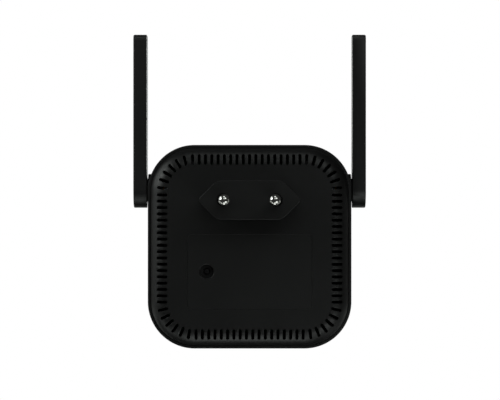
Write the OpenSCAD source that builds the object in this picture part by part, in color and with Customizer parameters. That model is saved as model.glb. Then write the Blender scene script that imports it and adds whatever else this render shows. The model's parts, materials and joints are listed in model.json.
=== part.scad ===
// Plug-in wifi range extender: a rounded square case with a two-pin mains plug on its back,
// a ring of vent slots, a recessed reset button and two antennas that fold down its sides.
// Origin at the centre of the plug's face, between the pins. +Z is up, the wall socket lies
// towards -Y and the front of the case towards +Y. Left and right are as seen from the back.
// Sizes are in millimetres.

/* [Case] */
// Width and height of the square case
case_w = 73; // [70:0.5:90]
// Depth of the case from its back face to its front face
case_depth = 20; // [19:0.5:26]
// Corner radius of the case, seen from the back
case_corner_r = 16.8; // [14:0.2:19]
// Wall of the front cover
front_wall = 2; // [1.7:0.1:2.6]
// Wall of the rear cover
rear_wall = 1.8; // [1.4:0.1:2.2]
// Radius of the edge round the front face
front_edge_r = 2; // [0.8:0.1:3]
// Radius of the edge round the back face
back_edge_r = 5.8; // [4:0.1:5.8]
// How far the rear cover stands out of the front cover's rim
rear_stand = 6; // [5.8:0.1:7]
// Thickness of the front cover's lip round the rear cover
lip_t = 0.8; // [0.6:0.05:1]
// How deep the rear cover sits behind the lip
lip_depth = 2; // [1.5:0.1:2.5]
// Open seam between the lip and the rear cover
seam_gap = 0.35; // [0.2:0.05:0.45]

/* [Vents] */
// Number of slots round the back
vent_count = 97; // [80:1:100]
// Width of a slot
vent_w = 1.05; // [0.8:0.05:1.2]
// Length of a slot across the rim
vent_l = 3.8; // [3:0.1:4]
// Distance of a slot's inner end from the case's outline
vent_inset = 7.2; // [6.8:0.1:8]

/* [Plug] */
// Height of the plug's axis above the middle of the case
plug_rise = 16.75; // [15:0.25:18]
// Width of the plug block across its points
plug_w = 35.3; // [34.6:0.1:36]
// Height of the plug block
plug_h = 13.7; // [13:0.1:14.4]
// How far the plug block stands out of the back face
plug_stand = 17; // [15:0.5:21]
// Radius of the plug block's corners
plug_corner_r = 1.5; // [1:0.1:2]
// Length of a plug pin outside the block
pin_l = 19; // [18:0.5:23]
// Diameter of a plug pin's bare end
pin_d = 4; // [3.9:0.02:4.9]
// Diameter of the pin inside its sleeve and in the block
pin_core_d = 3; // [2.4:0.1:3.2]
// Outside diameter of the insulating sleeve
sleeve_d = 3.6; // [3.4:0.05:3.65]
// Length of sleeve outside the block
sleeve_l = 10; // [9:0.5:11]
// Distance between the pins at the block's face
pin_base_gap = 18.6; // [18:0.1:19.2]
// Distance between the pins at their ends
pin_tip_gap = 17.5; // [17:0.1:18]

/* [Antennas] */
// Length of an antenna from end to end
antenna_l = 62.2; // [50:0.2:80]
// Thickness of an antenna, across the case
antenna_t = 4.8; // [4.6:0.1:6]
// Width of an antenna, from back to front
antenna_w = 12.8; // [12:0.2:16]
// Radius of the two corners at the antenna's tip
antenna_tip_r = 2; // [1.6:0.1:3]
// Wall of the antenna's case
antenna_wall = 1.4; // [1.2:0.1:1.5]
// Gap between an antenna and the side of the case
antenna_gap = 0.45; // [0.4:0.05:1]
// Height of the hinge axis above the middle of the case
hinge_rise = 20.35; // [18:0.05:21]
// Diameter of the round pad that the hinge turns on
hinge_pad_d = 11.6; // [10.5:0.1:12.4]
// Diameter of the antenna's collar against the pad
hinge_collar_d = 8.3; // [7.4:0.1:9]
// Diameter of the hollow hinge shaft
hinge_shaft_d = 5; // [4.6:0.1:6]
// Diameter of an antenna's coaxial lead
coax_d = 1.3; // [1:0.05:1.4]

/* [Reset and label] */
// Reset button to the left of the middle of the case
reset_x = 15.3; // [14.8:0.1:16]
// Reset button below the middle of the case
reset_drop = 8.75; // [8:0.25:10]
// Diameter of the well that the reset button lies in
reset_well_d = 5; // [4.4:0.1:5.6]
// Depth of that well
reset_well_depth = 2.8; // [2.4:0.1:3.2]
// Diameter of the reset plunger
reset_plunger_d = 2.2; // [1.8:0.1:2.4]
// Travel of the reset button
reset_travel = 0.4; // [0.2:0.05:0.6]
// Width of the rating label
label_w = 44; // [40:0.5:46]
// Height of the rating label
label_h = 26.2; // [24:0.1:27]
// Middle of the label below the middle of the case
label_drop = 8.9; // [8.5:0.1:9.5]
// Thickness of the label
label_t = 0.2; // [0.1:0.05:0.25]

/* [Boards] */
// Thickness of both circuit boards
board_t = 1.2; // [1:0.1:1.6]
// Height of the posts under the boards
post_h = 2; // [1.6:0.1:2.4]
// Clearance between the boards and the side walls
board_edge = 5.5; // [5.2:0.1:7]
// Status light below the middle of the case
led_drop = 24; // [20:0.5:26]
// Diameter of the light pipe's window
window_d = 2.4; // [1.6:0.1:3]

/* [Hidden] */
$fn = 64;
eps = 0.1;
running_gap = 0.05;
seat_gap = 0.03;
slip_gap = 0.08;

// Planes and axes worked out from the sizes above
half = case_w / 2;
case_z = -plug_rise;
back_y = plug_stand;
front_y = back_y + case_depth;
rim_y = back_y + rear_stand;
ledge_y = rim_y + lip_depth;
inner_back_y = back_y + rear_wall;
inner_front_y = front_y - front_wall;
rear_inset = lip_t + seam_gap;
inner_edge_r = back_edge_r - rear_wall;
hinge_y = (rim_y + front_y) / 2;
hinge_z = case_z + hinge_rise;
antenna_in = half + antenna_gap;
antenna_out = antenna_in + antenna_t;
board_front_y = inner_front_y - post_h;
board_back_y = board_front_y - board_t;

// Snap hooks of the rear cover: [side counted clockwise from the top, place along the side]
hooks = [[0, -13], [0, 13], [1, 8], [2, -13], [2, 13], [3, -8]];
hook_w = 6;
hook_t = 1.2;
hook_l = 5;
hook_gap = 0.15;
barb_out = 0.6;
barb_l = 1.2;
barb_room = 0.35;

// Plug block: flange inside the case, held by four melted posts of the rear cover
flange_t = 2;
flange_w = 46;
flange_h = 17;
flange_corner_r = 2;
flange_y = inner_back_y + flange_t;
stake_r = 1;
stake_head_r = 1.7;
stake_head_t = 0.8;
stake_x = flange_w / 2 - 2.8;
stake_z = flange_h / 2 - 3.3;
sleeve_seat = 1.5;
sleeve_relief = 0.4;
sleeve_relief_depth = 0.6;
pin_tail = 2.7;
pin_tilt = atan((pin_base_gap - pin_tip_gap) / 2 / pin_l);
tail_y = flange_y + pin_tail;
tail_x = pin_base_gap / 2 + tail_y * tan(pin_tilt);

// Hinge: shaft, barrel of the front cover, washer and ring
shaft_r = hinge_shaft_d / 2;
shaft_bore_r = coax_d / 2 + 0.55;
shaft_head_r = shaft_r + 1.1;
shaft_head_t = 0.8;
barrel_r = shaft_r + running_gap + 1.75;
barrel_end = half - front_wall - 3.3;
washer_t = 0.4;
washer_r = shaft_r + 1.3;
ring_t = 0.6;
ring_r = shaft_r + 1.5;
groove_r = shaft_r - 0.5;
ring_x = barrel_end - 2 * running_gap - washer_t;
shaft_end = ring_x - ring_t - 0.7;
antenna_floor = antenna_in + 1.2;
lid_t = 1.1;
lid_inset = 0.8;
element_t = 0.8;
element_w = 8;
element_start = 9;
element_end = 3.5;

// Boards: outlines in X and Z about the middle of the case
board_half = half - front_wall - board_edge;
board_split = 2.75;
board_gap = 2.5;
power_top = board_half + 3;
power_bottom = board_split + board_gap / 2;
main_top = board_split - board_gap / 2;
main_bottom = -board_half - 2;
main_half = board_half + 0.5;
board_corner_r = 6;
power_screws = [[-21, power_top - 3], [21, power_top - 3], [-3, power_bottom + 3]];
main_screws = [[-main_half + 3, -10], [main_half - 3, -10], [-19, main_bottom + 3], [19, main_bottom + 3]];
screw_head_r = 1.9;
screw_head_t = 1.3;
screw_r = 0.8;
screw_end_y = board_front_y + 2.8;
post_r = 2.2;
wire_d = 1.4;
wire_pad_z = 6;
coax_x = barrel_end - 5.6;
coax_y = board_back_y - 1.8;
coax_pad_z = case_z + main_top - 5.5;
mains_capacitor_r = 4;
mains_capacitor_x = [-19, -10.3];
mains_capacitor_l = [12, 9.6];
can_wall = 0.3;
can = [26, 22, 2.6];
can_at = [6, main_top - 15];

// Reset switch, in line with the well
well_r = reset_well_d / 2;
well_floor_y = back_y + reset_well_depth;
well_end_y = well_floor_y + 1;
well_wall = 1.2;
plunger_r = reset_plunger_d / 2;
plunger_gap = 0.2;
reset_tip_y = well_floor_y + 0.2;
reset_z = case_z - reset_drop;
switch_w = 6;
switch_h = 3.5;
switch_y = board_back_y - switch_h;
stem_r = 1.75;
stem_out = 1;
stem_in = 1;

// Label recess in the back face
label_recess = 0.25;
label_margin = 0.25;
label_corner_r = 1.6;

// General shapes

// Extrudes a drawing made in X and Z from y0 to y1
module plate(y0, y1) {
    translate([0, y1, 0]) rotate([90, 0, 0]) linear_extrude(y1 - y0) children();
}

// Extrudes a drawing made in Y and Z from x0 to x1
module slice(x0, x1) {
    translate([x0, 0, 0]) rotate([90, 0, 90]) linear_extrude(x1 - x0) children();
}

module rod_x(y, z, r, x0, x1) {
    translate([x0, y, z]) rotate([0, 90, 0]) cylinder(r = r, h = x1 - x0);
}

module rod_y(x, z, r, y0, y1) {
    translate([x, y0, z]) rotate([-90, 0, 0]) cylinder(r = r, h = y1 - y0);
}

// Box on the back of a circuit board: size is [width, height, depth off the board]
module on_board(at, size) {
    translate([at[0] - size[0] / 2, board_back_y - size[2], case_z + at[1] - size[1] / 2])
        cube([size[0], size[2], size[1]]);
}

// Draws for the right-hand side, or mirrored for the left
module on_side(side) {
    if (side > 0) children();
    else mirror([1, 0, 0]) children();
}

module rounded_rect(w, h, r) {
    square([w, h - 2 * r], center = true);
    square([w - 2 * r, h], center = true);
    for (x = [-1, 1], z = [-1, 1])
        translate([x * (w / 2 - r), z * (h / 2 - r)]) circle(r);
}

// Convex polygon with every corner rounded by true arcs
module rounded_polygon(points, r) {
    n = len(points);
    corner = [for (i = [0:n - 1]) let (
        p = points[i],
        u = (points[(i + n - 1) % n] - p) / norm(points[(i + n - 1) % n] - p),
        v = (points[(i + 1) % n] - p) / norm(points[(i + 1) % n] - p),
        a = acos(u * v) / 2
    ) [p + u * r / tan(a), p + v * r / tan(a), p + (u + v) / norm(u + v) * r / sin(a)]];
    polygon([for (c = corner) each [c[0], c[1]]]);
    for (c = corner) translate(c[2]) circle(r);
}

// Half section through the edge of a slab, with its outer top corner rounded
module edge_section(r, h, edge) {
    square([r, h - edge]);
    square([r - edge, h]);
    translate([r - edge, h - edge]) intersection() {
        circle(edge);
        square(edge);
    }
}

// Rounded square slab on the X-Y plane, with a rounded edge round its top
module slab(half_w, r, h, edge) {
    s = half_w - r;
    translate([-s, -s, 0]) cube([2 * s, 2 * s, h]);
    for (turn = [0:90:270]) rotate(turn) {
        translate([s, s, 0]) rotate([90, 0, 0]) linear_extrude(2 * s) edge_section(r, h, edge);
        translate([s, s, 0]) rotate_extrude(angle = 90) edge_section(r, h, edge);
    }
}

// Slab of the case outline drawn in by inset, from y0 towards the front face at y1
module front_slab(inset, y0, y1, edge) {
    translate([0, y0, case_z]) rotate([-90, 0, 0])
        slab(half - inset, case_corner_r - inset, y1 - y0, edge);
}

// The same from y1 towards the back face at y0
module back_slab(inset, y0, y1, edge) {
    translate([0, y1, case_z]) rotate([90, 0, 0])
        slab(half - inset, case_corner_r - inset, y1 - y0, edge);
}

// Case outline drawn in by inset
module case_outline(inset) {
    translate([0, case_z])
        rounded_rect(case_w - 2 * inset, case_w - 2 * inset, case_corner_r - inset);
}

// Wires

// Route through the points, with each corner turned into a curve that starts bend before it
function route(points, bend, steps = 6) = [
    for (i = [0:len(points) - 1])
        if (i == 0 || i == len(points) - 1) points[i]
        else let (
            p = points[i],
            a = p + (points[i - 1] - p) / norm(points[i - 1] - p) * bend,
            b = p + (points[i + 1] - p) / norm(points[i + 1] - p) * bend
        ) each [for (k = [0:steps]) let (t = k / steps)
            (1 - t) * (1 - t) * a + 2 * t * (1 - t) * p + t * t * b]
];

function unit(v) = v / norm(v);

// Direction of the route at each of its points
function headings(p) = [for (i = [0:len(p) - 1])
    unit(p[min(i + 1, len(p) - 1)] - p[max(i - 1, 0)])];

// A side direction carried along the route without twist
function carry(h, side, i = 0) = i == len(h) ? [] :
    let (s = unit(side - h[i] * (side * h[i]))) concat([s], carry(h, s, i + 1));

// Round wire along a route whose first stretch isn't parallel to side
module wire(p, d, side, sides = 8) {
    n = len(p);
    h = headings(p);
    s = carry(h, side);
    points = [for (i = [0:n - 1], k = [0:sides - 1]) let (a = 360 * k / sides)
        p[i] + d / 2 * (cos(a) * s[i] + sin(a) * cross(h[i], s[i]))];
    ends = [for (k = [1:sides - 2]) each [
        [0, k, k + 1],
        [(n - 1) * sides, (n - 1) * sides + k + 1, (n - 1) * sides + k]
    ]];
    walls = [for (i = [0:n - 2], k = [0:sides - 1]) let (
        a = i * sides + k,
        b = i * sides + (k + 1) % sides
    ) each [[a, a + sides, b], [b, a + sides, b + sides]]];
    polyhedron(points, concat(ends, walls));
}

// Covers

// Placed at each vent slot, with +Y pointing out across the rim
module at_vents() {
    r = case_corner_r - vent_inset;
    s = half - case_corner_r;
    side_l = 2 * s + PI / 2 * r;
    for (i = [0:vent_count - 1]) {
        along = i * 4 * side_l / vent_count + s;
        side = floor(along / side_l);
        v = along - side * side_l;
        turn = v > 2 * s ? (v - 2 * s) / r * 180 / PI : 0;
        rotate(-90 * side) translate([min(v, 2 * s) - s, s]) rotate(-turn) translate([0, r]) children();
    }
}

module vent_slots() {
    plate(back_y - eps, back_y + back_edge_r)
        translate([0, case_z]) at_vents() {
            translate([-vent_w / 2, vent_w / 2]) square([vent_w, vent_l - vent_w]);
            translate([0, vent_w / 2]) circle(vent_w / 2);
            translate([0, vent_l - vent_w / 2]) circle(vent_w / 2);
        }
}

// Places its child, drawn at the top side, at each snap hook
module at_hooks() {
    for (hook = hooks)
        translate([0, 0, case_z]) rotate([0, 90 * hook[0], 0]) translate([hook[1], 0, half]) children();
}

module snap_hook() {
    outer = front_wall + hook_gap;
    root = (rim_y + back_y + back_edge_r) / 2;
    translate([-hook_w / 2, root, -outer - hook_t]) cube([hook_w, ledge_y + hook_l - root, hook_t]);
    translate([-hook_w / 2, ledge_y + hook_l - 2 * barb_l, -outer - hook_t / 2])
        cube([hook_w, barb_l, hook_t / 2 + barb_out]);
}

module hook_pocket() {
    translate([-hook_w / 2 - barb_room, ledge_y + hook_l - 2 * barb_l - barb_room, -front_wall - eps])
        cube([hook_w + 2 * barb_room, barb_l + 2 * barb_room, eps + barb_out - hook_gap + barb_room]);
}

module plug_outline(gap = 0) {
    point = plug_w / 2 + (sqrt(2) - 1) * plug_corner_r + gap * sqrt(2);
    high = plug_h / 2 + gap;
    rounded_polygon([
        [point, 0], [point - high, high], [high - point, high],
        [-point, 0], [high - point, -high], [point - high, -high]
    ], plug_corner_r + gap);
}

module label_outline(gap) {
    translate([0, case_z - label_drop])
        rounded_rect(label_w + 2 * gap, label_h + 2 * gap, label_corner_r + gap);
}

module rear_cover() {
    color("#1a1b1b") difference() {
        union() {
            difference() {
                back_slab(rear_inset, back_y, ledge_y, back_edge_r);
                back_slab(rear_inset + rear_wall, inner_back_y, ledge_y + eps, inner_edge_r);
                vent_slots();
            }
            rod_y(-reset_x, reset_z, well_r + well_wall, inner_back_y - eps, well_end_y);
            for (x = [-1, 1], z = [-1, 1]) {
                rod_y(x * stake_x, z * stake_z, stake_r, inner_back_y - eps, flange_y + eps);
                rod_y(x * stake_x, z * stake_z, stake_head_r, flange_y, flange_y + stake_head_t);
            }
            at_hooks() snap_hook();
        }
        plate(back_y - eps, inner_back_y + eps) plug_outline(slip_gap);
        plate(back_y - eps, back_y + label_recess) label_outline(label_margin);
        rod_y(-reset_x, reset_z, well_r, back_y - eps, well_floor_y);
        rod_y(-reset_x, reset_z, plunger_r + plunger_gap, well_floor_y - eps, well_end_y + eps);
    }
}

module board_posts() {
    for (at = concat(power_screws, main_screws))
        rod_y(at[0], case_z + at[1], post_r, board_front_y, inner_front_y + eps);
}

module post_holes() {
    for (at = concat(power_screws, main_screws))
        rod_y(at[0], case_z + at[1], screw_r + seat_gap, board_front_y - eps, screw_end_y + eps);
}

module front_cover() {
    color("#1a1b1b") difference() {
        union() {
            difference() {
                union() {
                    front_slab(0, rim_y, front_y, front_edge_r);
                    for (side = [-1, 1]) on_side(side)
                        rod_x(hinge_y, hinge_z, hinge_pad_d / 2, half - front_wall, half);
                }
                plate(rim_y - eps, inner_front_y) case_outline(front_wall);
                plate(rim_y - eps, ledge_y) case_outline(lip_t);
                at_hooks() hook_pocket();
            }
            for (side = [-1, 1]) on_side(side)
                rod_x(hinge_y, hinge_z, barrel_r, barrel_end, half - front_wall / 2);
            board_posts();
        }
        for (side = [-1, 1]) on_side(side)
            rod_x(hinge_y, hinge_z, shaft_r + running_gap, barrel_end - eps, half + eps);
        post_holes();
        rod_y(0, case_z - led_drop, window_d / 2 + seat_gap, inner_front_y - eps, front_y + eps);
    }
}

module rating_label() {
    color("#202121") difference() {
        plate(back_y + label_recess - label_t, back_y + label_recess) label_outline(0);
        rod_y(-reset_x, reset_z, well_r + label_margin, back_y - eps, back_y + label_recess + eps);
    }
}

module light_pipe() {
    flange_r = window_d / 2 + 1;
    color("#dfe6ea") {
        rod_y(0, case_z - led_drop, window_d / 2, inner_front_y - eps, front_y);
        rod_y(0, case_z - led_drop, flange_r, inner_front_y - 1, inner_front_y);
    }
}

// Plug

// Frame of one plug pin: +Z runs out along the pin from the block's face
module pin_frame(side) {
    translate([side * pin_base_gap / 2, 0, 0]) rotate([0, 0, -side * pin_tilt]) rotate([90, 0, 0]) children();
}

module plug_block() {
    color("#181919") difference() {
        union() {
            plate(0, inner_back_y + eps) plug_outline();
            plate(inner_back_y, flange_y) rounded_rect(flange_w, flange_h, flange_corner_r);
        }
        for (side = [-1, 1]) pin_frame(side) {
            translate([0, 0, -tail_y]) cylinder(d = pin_core_d + 2 * seat_gap, h = tail_y + pin_l);
            translate([0, 0, -sleeve_seat]) cylinder(d = sleeve_d + 2 * seat_gap, h = sleeve_seat + pin_l);
        }
        for (side = [-1, 1])
            rod_y(side * pin_base_gap / 2, 0, sleeve_d / 2 + sleeve_relief, -eps, sleeve_relief_depth);
        for (x = [-1, 1], z = [-1, 1])
            rod_y(x * stake_x, z * stake_z, stake_r + seat_gap, inner_back_y - eps, flange_y + eps);
    }
}

module plug_pin(side) {
    tail = tail_y / cos(pin_tilt);
    color("#d9d9d6") pin_frame(side) {
        translate([0, 0, -tail]) cylinder(d = pin_core_d, h = tail + sleeve_l + eps);
        translate([0, 0, sleeve_l]) cylinder(d = pin_d, h = pin_l - pin_d / 2 - sleeve_l);
        translate([0, 0, pin_l - pin_d / 2]) rotate_extrude() intersection() {
            circle(d = pin_d);
            square(pin_d);
        }
    }
}

module pin_sleeve(side) {
    color("#141414") pin_frame(side) difference() {
        translate([0, 0, -sleeve_seat]) cylinder(d = sleeve_d, h = sleeve_seat + sleeve_l);
        translate([0, 0, -sleeve_seat - eps])
            cylinder(d = pin_core_d + 2 * seat_gap, h = sleeve_seat + sleeve_l + 2 * eps);
    }
}

module mains_wire(side) {
    color("#8a4a2c") wire(route([
        [side * tail_x, tail_y, 0],
        [side * tail_x, (tail_y + board_back_y) / 2 - 1, 0],
        [side * tail_x, (tail_y + board_back_y) / 2 + 1, wire_pad_z],
        [side * tail_x, board_back_y, wire_pad_z]
    ], 1.8), wire_d, [1, 0, 0]);
}

// Circuit boards and what they carry

module board_outline(half_w, bottom, top) {
    translate([0, case_z + (top + bottom) / 2]) rounded_rect(2 * half_w, top - bottom, board_corner_r);
}

module screw_holes(places) {
    for (at = places) rod_y(at[0], case_z + at[1], screw_r + 0.3, board_back_y - eps, board_front_y + eps);
}

module power_board() {
    color("#2f5d3a") difference() {
        plate(board_back_y, board_front_y) board_outline(board_half, power_bottom, power_top);
        screw_holes(power_screws);
    }
}

module main_board() {
    color("#1f4f38") difference() {
        plate(board_back_y, board_front_y) board_outline(main_half, main_bottom, main_top);
        screw_holes(main_screws);
    }
}

module board_screws() {
    color("#8c8f92") for (at = concat(power_screws, main_screws)) difference() {
        union() {
            rod_y(at[0], case_z + at[1], screw_head_r, board_back_y - screw_head_t, board_back_y);
            rod_y(at[0], case_z + at[1], screw_r, board_back_y - eps, screw_end_y);
        }
        for (turn = [0, 90])
            translate([at[0], board_back_y - screw_head_t, case_z + at[1]]) rotate([0, turn, 0])
                cube([screw_head_r * 1.1, screw_head_t, 0.5], center = true);
    }
}

module wifi_chip() {
    color("#222426") on_board([4, main_top - 13], [10, 10, 1]);
}

module memory_chip() {
    color("#242628") on_board([13.5, main_top - 21], [6, 5, 0.9]);
}

module crystal() {
    color("#b9bcc0") on_board([-3.5, main_top - 9], [3.2, 2.5, 0.7]);
}

// Silicone pad that fills the space between the chip and the can's lid
module thermal_pad() {
    color("#9aa7b0") translate([4 - 4.5, board_back_y - can[2] + can_wall, case_z + main_top - 13 - 4.5])
        cube([9, can[2] - can_wall - 1, 9]);
}

module shield_can() {
    color("#c3c6c8") difference() {
        on_board(can_at, can);
        translate([0, eps, 0]) on_board(can_at, can - can_wall * [2, 2, 1] + [0, 0, eps]);
    }
}

module amplifier(side) {
    color("#26282a") on_board([side * (coax_x - 5), main_top - 5.5], [3, 3, 0.8]);
}

module status_led() {
    color("#f2efe2") translate([-0.8, board_front_y, case_z - led_drop - 0.4]) cube([1.6, 0.8, 0.8]);
}

module reset_switch() {
    color("#303234") difference() {
        on_board([-reset_x, -reset_drop], [switch_w, switch_w, switch_h]);
        rod_y(-reset_x, reset_z, stem_r + running_gap, switch_y - eps, switch_y + stem_in + 2 * reset_travel);
    }
}

module reset_stem() {
    color("#5a3b2a") rod_y(-reset_x, reset_z, stem_r, switch_y - stem_out, switch_y + stem_in);
}

module reset_plunger() {
    collar_y = well_end_y + running_gap;
    color("#151616") {
        rod_y(-reset_x, reset_z, plunger_r, reset_tip_y, switch_y - stem_out);
        rod_y(-reset_x, reset_z, plunger_r + plunger_gap + 0.7, collar_y, collar_y + 0.8);
    }
}

module transformer_core() {
    size = [12.5, 11, 9.5];
    window = [9, size[1] + 2 * eps, 6];
    at = [18, power_bottom + 8];
    color("#3a3a3c") difference() {
        on_board(at, size);
        translate([0, (window[2] - size[2]) / 2, 0]) on_board(at, window);
    }
}

module transformer_winding() {
    at = [18, power_bottom + 8];
    color("#e2c04a") translate([0, (6 - 9.5) / 2 - 0.05, 0]) on_board(at, [8.9, 13, 5.9]);
}

// Electrolytic can lying on the power board, with the groove rolled in over its seal
module mains_capacitor(k) {
    r = mains_capacitor_r;
    l = mains_capacitor_l[k - 1];
    waist = r - 0.3;
    color("#20242c") translate([mains_capacitor_x[k - 1], board_back_y - r, case_z + power_bottom + 1.5])
        rotate_extrude()
            polygon([[0, 0], [r, 0], [r, 2], [waist, 2.2], [waist, 2.6], [r, 2.8], [r, l], [0, l]]);
}

module output_capacitor() {
    color("#20242c") rod_y(3, case_z + power_bottom + 6, 3.15, board_back_y - 8, board_back_y);
}

module safety_capacitor() {
    color("#2c5fa8") translate([16, board_back_y - 3.5, case_z + power_top - 9])
        rotate([0, 90, 0]) cylinder(r = 3.5, h = 3);
}

module rectifier() {
    color("#222426") on_board([-3, power_top - 6], [6.5, 5, 2.5]);
}

module choke() {
    color("#3c3a38") difference() {
        rod_y(5, case_z + power_top - 6, 3.2, board_back_y - 7, board_back_y);
        difference() {
            rod_y(5, case_z + power_top - 6, 4, board_back_y - 5.6, board_back_y - 1.4);
            rod_y(5, case_z + power_top - 6, 2.6, board_back_y - 5.6, board_back_y - 1.4);
        }
    }
}

module fuse() {
    color("#4d6f4f") rod_x(board_back_y - 1.7, case_z + power_top - 6, 1.7, -16, -9);
}

// Four-way link that bridges the gap between the two boards
module board_link() {
    color("#dcd8c8") on_board([5, board_split], [9, board_gap + 3.4, 2.5]);
}

module coax(side) {
    color("#2a2a2c") wire(route([
        [side * (shaft_end - seat_gap), hinge_y, hinge_z],
        [side * coax_x, hinge_y, hinge_z],
        [side * coax_x, coax_y, coax_pad_z],
        [side * coax_x, board_back_y, coax_pad_z]
    ], 1.4), coax_d, [0, 1, 0]);
}

// Antennas

// Side view of an antenna, drawn in by inset: round about the hinge, square at its tip
module antenna_outline(inset) {
    w = antenna_w / 2 - inset;
    r = antenna_tip_r - inset;
    top = antenna_l - antenna_w / 2 - inset;
    translate([hinge_y, hinge_z]) {
        circle(w);
        translate([-w, 0]) square([2 * w, top - r]);
        translate([r - w, 0]) square([2 * (w - r), top]);
        for (side = [-1, 1]) translate([side * (w - r), top - r]) circle(r);
    }
}

module antenna_case(side) {
    color("#1b1c1c") on_side(side) difference() {
        union() {
            slice(antenna_in, antenna_out) antenna_outline(0);
            rod_x(hinge_y, hinge_z, hinge_collar_d / 2, half + running_gap, antenna_in + eps);
        }
        slice(antenna_floor, antenna_out) antenna_outline(antenna_wall);
        slice(antenna_out - lid_t, antenna_out + eps) antenna_outline(lid_inset);
        rod_x(hinge_y, hinge_z, shaft_r + seat_gap, half - eps, antenna_floor + eps);
    }
}

module antenna_cover(side) {
    color("#1b1c1c") on_side(side)
        slice(antenna_out - lid_t, antenna_out) antenna_outline(lid_inset + slip_gap);
}

module antenna_element(side) {
    color("#c8a24a") on_side(side) slice(antenna_floor, antenna_floor + element_t)
        translate([hinge_y - element_w / 2, hinge_z + element_start])
            square([element_w, antenna_l - antenna_w / 2 - element_start - element_end]);
}

module antenna_coax(side) {
    lie_x = antenna_floor + element_t + coax_d / 2 + running_gap;
    color("#2a2a2c") wire(route([
        [side * shaft_end, hinge_y, hinge_z],
        [side * lie_x, hinge_y, hinge_z],
        [side * lie_x, hinge_y, hinge_z + element_start + 6]
    ], 1.3), coax_d, [0, 1, 0]);
}

module hinge_shaft(side) {
    color("#6d7073") on_side(side) difference() {
        union() {
            rod_x(hinge_y, hinge_z, shaft_r, shaft_end, antenna_floor + eps);
            rod_x(hinge_y, hinge_z, shaft_head_r, antenna_floor, antenna_floor + shaft_head_t);
        }
        rod_x(hinge_y, hinge_z, shaft_bore_r, shaft_end - eps, antenna_out);
        difference() {
            rod_x(hinge_y, hinge_z, ring_r, ring_x - ring_t - seat_gap, ring_x + seat_gap);
            rod_x(hinge_y, hinge_z, groove_r, ring_x - ring_t - eps, ring_x + eps);
        }
    }
}

module friction_washer(side) {
    color("#b8935a") on_side(side) difference() {
        rod_x(hinge_y, hinge_z, washer_r, ring_x + running_gap, ring_x + running_gap + washer_t);
        rod_x(hinge_y, hinge_z, shaft_r + running_gap, ring_x, barrel_end);
    }
}

// Open ring that snaps into the shaft's groove
module retaining_ring(side) {
    color("#7d8084") on_side(side) difference() {
        rod_x(hinge_y, hinge_z, ring_r, ring_x - ring_t, ring_x);
        rod_x(hinge_y, hinge_z, groove_r + seat_gap, ring_x - ring_t - eps, ring_x + eps);
        translate([ring_x - ring_t - eps, hinge_y - ring_r - eps, hinge_z - groove_r * 0.8])
            cube([ring_t + 2 * eps, ring_r, groove_r * 1.6]);
    }
}

front_cover();
rear_cover();
plug_block();
plug_pin(-1);  // plug_pin_left
plug_pin(1);  // plug_pin_right
pin_sleeve(-1);  // pin_sleeve_left
pin_sleeve(1);  // pin_sleeve_right
rating_label();
light_pipe();
board_screws();
main_board();
wifi_chip();
memory_chip();
crystal();
thermal_pad();
shield_can();
amplifier(-1);  // amplifier_left
amplifier(1);  // amplifier_right
status_led();
reset_switch();
reset_stem();
reset_plunger();
power_board();
transformer_core();
transformer_winding();
mains_capacitor(1);  // mains_capacitor_1
mains_capacitor(2);  // mains_capacitor_2
output_capacitor();
safety_capacitor();
rectifier();
choke();
fuse();
board_link();
mains_wire(-1);  // mains_wire_left
mains_wire(1);  // mains_wire_right
coax(-1);  // coax_left
coax(1);  // coax_right
antenna_case(-1);  // antenna_case_left
antenna_cover(-1);  // antenna_cover_left
antenna_element(-1);  // antenna_element_left
antenna_coax(-1);  // antenna_coax_left
hinge_shaft(-1);  // hinge_shaft_left
friction_washer(-1);  // friction_washer_left
retaining_ring(-1);  // retaining_ring_left
antenna_case(1);  // antenna_case_right
antenna_cover(1);  // antenna_cover_right
antenna_element(1);  // antenna_element_right
antenna_coax(1);  // antenna_coax_right
hinge_shaft(1);  // hinge_shaft_right
friction_washer(1);  // friction_washer_right
retaining_ring(1);  // retaining_ring_right
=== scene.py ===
import json
import math

import bmesh
import bpy
from mathutils import Matrix, Vector


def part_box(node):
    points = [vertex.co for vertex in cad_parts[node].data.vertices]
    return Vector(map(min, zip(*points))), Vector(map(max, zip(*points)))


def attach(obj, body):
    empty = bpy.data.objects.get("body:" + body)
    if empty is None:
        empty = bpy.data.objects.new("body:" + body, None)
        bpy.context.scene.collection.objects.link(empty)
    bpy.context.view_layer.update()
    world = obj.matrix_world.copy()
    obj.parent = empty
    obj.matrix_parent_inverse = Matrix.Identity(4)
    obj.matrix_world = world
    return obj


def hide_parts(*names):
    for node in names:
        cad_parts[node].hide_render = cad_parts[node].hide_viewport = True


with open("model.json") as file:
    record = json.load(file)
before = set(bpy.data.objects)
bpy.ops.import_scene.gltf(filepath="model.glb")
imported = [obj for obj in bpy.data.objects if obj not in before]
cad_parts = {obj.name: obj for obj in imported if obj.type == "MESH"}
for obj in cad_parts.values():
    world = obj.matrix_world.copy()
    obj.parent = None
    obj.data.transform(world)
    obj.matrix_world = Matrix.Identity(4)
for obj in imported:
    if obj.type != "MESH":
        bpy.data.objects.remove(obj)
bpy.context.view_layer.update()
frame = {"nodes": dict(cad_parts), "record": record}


# Front cover: the deep half of the case, injection moulded in black ABS. Its lip closes round
# the rear cover. A round pad on each side, with a barrel behind it, carries a hinge, and a
# small hole in the front lets the status light through.
MM = 0.001
TOUCH = 0.01 * MM
OVERSHOOT = 1 * MM
BACKWARD = (math.pi / 2, 0, 0)
SIDEWAYS = (math.pi / 2, 0, math.pi / 2)
FLAT_ANGLE = math.radians(11.5)
SMOOTH_ANGLE = math.radians(50)

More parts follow.
